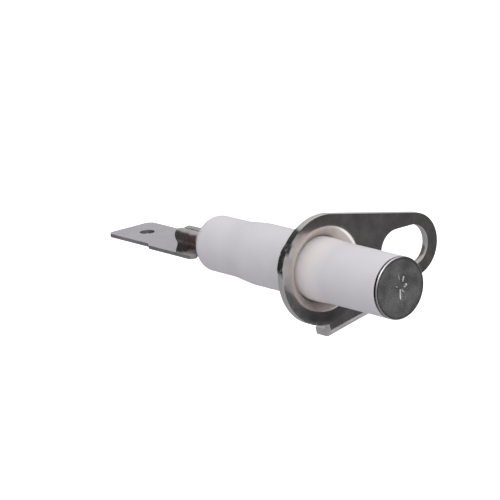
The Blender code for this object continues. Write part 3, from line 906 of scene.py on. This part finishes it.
def make_strip(top_steel, edge_steel, hole_steel):
    """The terminal's flat tab and base, with its locating hole and horns."""
    tip_x, horn_x = (corner.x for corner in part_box("spade_terminal"))
    bm = bmesh.new()
    outline = terminal_outline(tip_x + TAB_TIP_BACK, horn_x)
    hole = arc((tip_x + TAB_HOLE_FROM_TIP, 0), TAB_HOLE_RADIUS, TAB_HOLE_RADIUS,
               0, 2 * math.pi, 56)[:-1]
    edges = []
    for loop in (outline, hole):
        verts = [bm.verts.new((x, y, TERMINAL_TOP_Z)) for x, y in loop]
        edges += [bm.edges.new((a, b)) for a, b in zip(verts, verts[1:] + verts[:1])]
    bmesh.ops.triangle_fill(bm, use_beauty=True, use_dissolve=False, edges=edges, normal=(0, 0, 1))
    walls = bmesh.ops.extrude_face_region(bm, geom=list(bm.faces), use_keep_orig=True)
    moved = [item for item in walls["geom"] if isinstance(item, bmesh.types.BMVert)]
    bmesh.ops.translate(bm, verts=moved, vec=(0, 0, -TERMINAL_SHEET))
    hole_centre = Vector((tip_x + TAB_HOLE_FROM_TIP, 0))
    for vert in moved:
        from_centre = vert.co.to_2d() - hole_centre
        if from_centre.length < HOLE_REACH:
            vert.co.xy = hole_centre + from_centre * TAB_HOLE_TAPER
    for face in bm.faces:
        face.normal_update()
        in_hole = (face.calc_center_median().to_2d() - hole_centre).length < HOLE_REACH
        if abs(face.normal.z) < 0.5:
            face.material_index = 2 if in_hole else 1
    piece = add_piece("terminal_tab", bm, [top_steel, edge_steel, hole_steel], "spade_terminal")
    soften(piece, STRIP_EDGE)
    bake_modifiers(piece)
    return piece


def crimp_section():
    """The crimp's closed section as (y, z) points: one wing, the floor and the other wing."""
    centre = (-CRIMP_CURL_Y, CRIMP_CURL_Z)
    outer = [(-y * MM, z * MM) for y, z in CRIMP_TOP]
    outer += arc(centre, CRIMP_CURL_RADIUS, CRIMP_CURL_RADIUS, CRIMP_CURL_END, math.pi, 20)
    outer += [(-y * MM, z * MM) for y, z in CRIMP_FOOT]
    outer.append((-CRIMP_FOOT[-1][0] * MM, TERMINAL_TOP_Z - CRIMP_SINK))
    inside = CRIMP_CURL_RADIUS - CRIMP_WALL
    inner = [(-y * MM, z * MM) for y, z in CRIMP_UNDER]
    inner += arc(centre, inside, inside, CRIMP_INSIDE_END, math.pi, 12)
    inner += [(CRIMP_WALL - y * MM, z * MM) for y, z in CRIMP_FOOT[:3]]
    inner.append((-CRIMP_FLOOR_HALF, CRIMP_FLOOR_Z))
    far = [(-y, z) for y, z in reversed(outer)]
    far_inner = [(-y, z) for y, z in inner]
    return outer + far + far_inner + list(reversed(inner))


def make_crimp(material):
    """The crimp barrel, widening a little towards the ceramic."""
    section = crimp_section()
    bm = bmesh.new()
    layers = []
    for j in range(CRIMP_STATIONS + 1):
        share = j / CRIMP_STATIONS
        grow = 1 + CRIMP_FLARE * share
        x = CRIMP_REAR_X + (CRIMP_FRONT_X - CRIMP_REAR_X) * share
        layer = []
        for y, z in section:
            wide = grow if abs(y) > CRIMP_CURL_Y else 1 + (grow - 1) * abs(y) / CRIMP_CURL_Y
            layer.append(bm.verts.new((x, y * wide, z)))
        layers.append(layer)
    for first, second in zip(layers, layers[1:]):
        bridge(bm, first, second)
    for layer in (layers[0], layers[-1]):
        bm.faces.new(layer)
    piece = add_piece("terminal_crimp", bm, [material], "spade_terminal")
    soften(piece, CRIMP_EDGE, 2)
    bake_modifiers(piece)
    return piece


# ---------------------------------------------------------------- studio

def studio_world():
    """Soft white surroundings, brighter above, towards the button's end and on the ear's side."""
    world = bpy.data.worlds.new("studio_world")
    bpy.context.scene.world = world
    world.use_nodes = True
    tree = world.node_tree
    background = tree.nodes["Background"]
    coords = tree.nodes.new("ShaderNodeTexCoord")
    split = tree.nodes.new("ShaderNodeSeparateXYZ")
    tree.links.new(coords.outputs["Generated"], split.inputs["Vector"])
    shade = maths(tree, "MULTIPLY_ADD", split.outputs["X"], WORLD_LENGTHWISE)
    shade.node.inputs[2].default_value = WORLD_BASE
    sideways = times(tree, split.outputs["Y"], WORLD_SIDEWAYS)
    upward = times(tree, split.outputs["Z"], WORLD_UPWARD)
    shade = maths(tree, "ADD", shade, maths(tree, "ADD", sideways, upward))
    tree.links.new(shade, background.inputs["Strength"])
    tint = spread(tree, split.outputs["Z"], 0.0, 1.0, -0.8, 0.8)
    tree.links.new(mix_colour(tree, tint, (0.985, 0.955, 1.02), (1.0, 0.99, 1.0)),
                   background.inputs["Color"])


def make_floor():
    """A softly lit white table top below the part."""
    low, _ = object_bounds()
    bm = bmesh.new()
    half = FLOOR_SIZE / 2
    z = low.z - FLOOR_DROP
    corners = [bm.verts.new((x, y, z)) for x, y in ((-half, -half), (half, -half), (half, half),
                                                    (-half, half))]
    bm.faces.new(corners)
    mesh = bpy.data.meshes.new("floor")
    bm.to_mesh(mesh)
    bm.free()
    material, tree, shader = start_material("floor_white")
    tone = mix_colour(tree, noise(tree, 0.4), (0.88, 0.88, 0.88), (0.90, 0.90, 0.90))
    tree.links.new(tone, shader.inputs["Base Color"])
    shader.inputs["Roughness"].default_value = 0.9
    shader.inputs["Specular IOR Level"].default_value = 0.1
    shader.inputs["Emission Color"].default_value = (1.0, 1.0, 1.0, 1.0)
    shader.inputs["Emission Strength"].default_value = 0.75
    mesh.materials.append(material)
    floor = bpy.data.objects.new("floor", mesh)
    bpy.context.scene.collection.objects.link(floor)
    floor.visible_diffuse = False
    floor.visible_glossy = False


def make_flag(name, centre, facing, width, height, tones):
    """A dark or light card seen only in reflections. Its tones are (height, grey) pairs, with
    heights in millimetres."""
    bm = bmesh.new()
    normal = Vector(facing).normalized()
    side = Vector((0, 0, 1)).cross(normal).normalized()
    up = normal.cross(side)
    for a, b in ((-1, -1), (1, -1), (1, 1), (-1, 1)):
        bm.verts.new(Vector(centre) + side * a * width / 2 + up * b * height / 2)
    bm.verts.ensure_lookup_table()
    bm.faces.new(bm.verts)
    mesh = bpy.data.meshes.new(name)
    bm.to_mesh(mesh)
    bm.free()
    material, tree, shader = start_material(name)
    shader.inputs["Base Color"].default_value = (0.0, 0.0, 0.0, 1.0)
    shader.inputs["Specular IOR Level"].default_value = 0.0
    shader.inputs["Emission Strength"].default_value = 1.0
    low, high = tones[0][0] * MM, tones[-1][0] * MM
    ramp = tree.nodes.new("ShaderNodeValToRGB")
    tree.links.new(spread(tree, along_axis(tree, 2), 0.0, 1.0, low, high), ramp.inputs["Fac"])
    stops = ramp.color_ramp.elements
    for index, (at, grey) in enumerate(tones):
        where = (at * MM - low) / (high - low)
        stop = stops[index] if index < 2 else stops.new(where)
        stop.position = where
        stop.color = (grey, grey, grey * 1.04, 1.0)
    tree.links.new(ramp.outputs["Color"], shader.inputs["Emission Color"])
    mesh.materials.append(material)
    flag = bpy.data.objects.new(name, mesh)
    bpy.context.scene.collection.objects.link(flag)
    flag.visible_camera = False
    flag.visible_diffuse = False
    flag.visible_shadow = False


def make_light(name, place_at, size, energy):
    """A square softbox aimed at the part."""
    light = bpy.data.lights.new(name, "AREA")
    light.shape = "SQUARE"
    light.size = size
    light.energy = energy
    lamp = bpy.data.objects.new(name, light)
    bpy.context.scene.collection.objects.link(lamp)
    lamp.location = place_at
    lamp.rotation_mode = "QUATERNION"
    lamp.rotation_quaternion = Vector(place_at).to_track_quat("Z", "Y")


def make_camera():
    """The camera, at the viewing angle named at the top."""
    azimuth, elevation = CAMERA_AZIMUTH, CAMERA_ELEVATION
    back = Vector((math.sin(azimuth) * math.cos(elevation),
                   -math.cos(azimuth) * math.cos(elevation), math.sin(elevation)))
    level = Vector((0, 0, 1)).cross(back).normalized()
    upright = back.cross(level)
    right = level * math.cos(CAMERA_ROLL) + upright * math.sin(CAMERA_ROLL)
    up = upright * math.cos(CAMERA_ROLL) - level * math.sin(CAMERA_ROLL)
    data = bpy.data.cameras.new("camera")
    data.lens = CAMERA_LENS
    data.sensor_width = SENSOR_WIDTH
    data.clip_start = 10 * MM
    data.clip_end = 20.0
    camera = bpy.data.objects.new("camera", data)
    bpy.context.scene.collection.objects.link(camera)
    place_at = CAMERA_TARGET + back * CAMERA_DISTANCE
    camera.matrix_world = Matrix((
        (right.x, up.x, back.x, place_at.x),
        (right.y, up.y, back.y, place_at.y),
        (right.z, up.z, back.z, place_at.z),
        (0, 0, 0, 1),
    ))
    bpy.context.scene.camera = camera


def make_studio():
    """World, floor, reflecting cards, key light and camera."""
    bpy.context.scene.view_settings.view_transform = "Standard"
    studio_world()
    make_floor()
    make_flag("flag_right", Vector((45.45, 42.7, -7)) * MM, (-0.78, -0.62, 0), 80 * MM, 66 * MM,
              ((-34, 0.05), (-24, 0.10), (-15, 0.125), (-7, 0.10), (6, 0.045), (45, 0.04)))
    make_flag("card_below", Vector((52, 10, -40)) * MM, (-0.62, -0.12, 0.78), 50 * MM, 44 * MM,
              ((-60, 1.1), (-20, 1.1)))
    make_flag("flag_left", Vector((-66, -50, 8)) * MM, (0.78, 0.62, 0), 120 * MM, 104 * MM,
              ((-44, 0.10), (-20, 0.04), (30, 0.03), (60, 0.10)))
    make_light("softbox_key", Vector((185, -106, 212)) * MM, 100 * MM, 0.12)
    make_camera()


# ---------------------------------------------------------------- main

def main():
    """Build every piece, then the studio."""
    strip_edge = sheared_edge_material("terminal_sheared_edge", (0.36, 0.36, 0.365),
                                       (0.22, 0.22, 0.225))[0]
    make_ceramic(alumina_material())
    make_bracket(bracket_face_material(), bracket_edge_material())
    make_button(button_material())
    make_rod(rod_material())
    make_seal(cement_material())
    make_strip(terminal_material(), strip_edge, hole_edge_material())
    make_crimp(crimp_material())
    make_studio()


main()
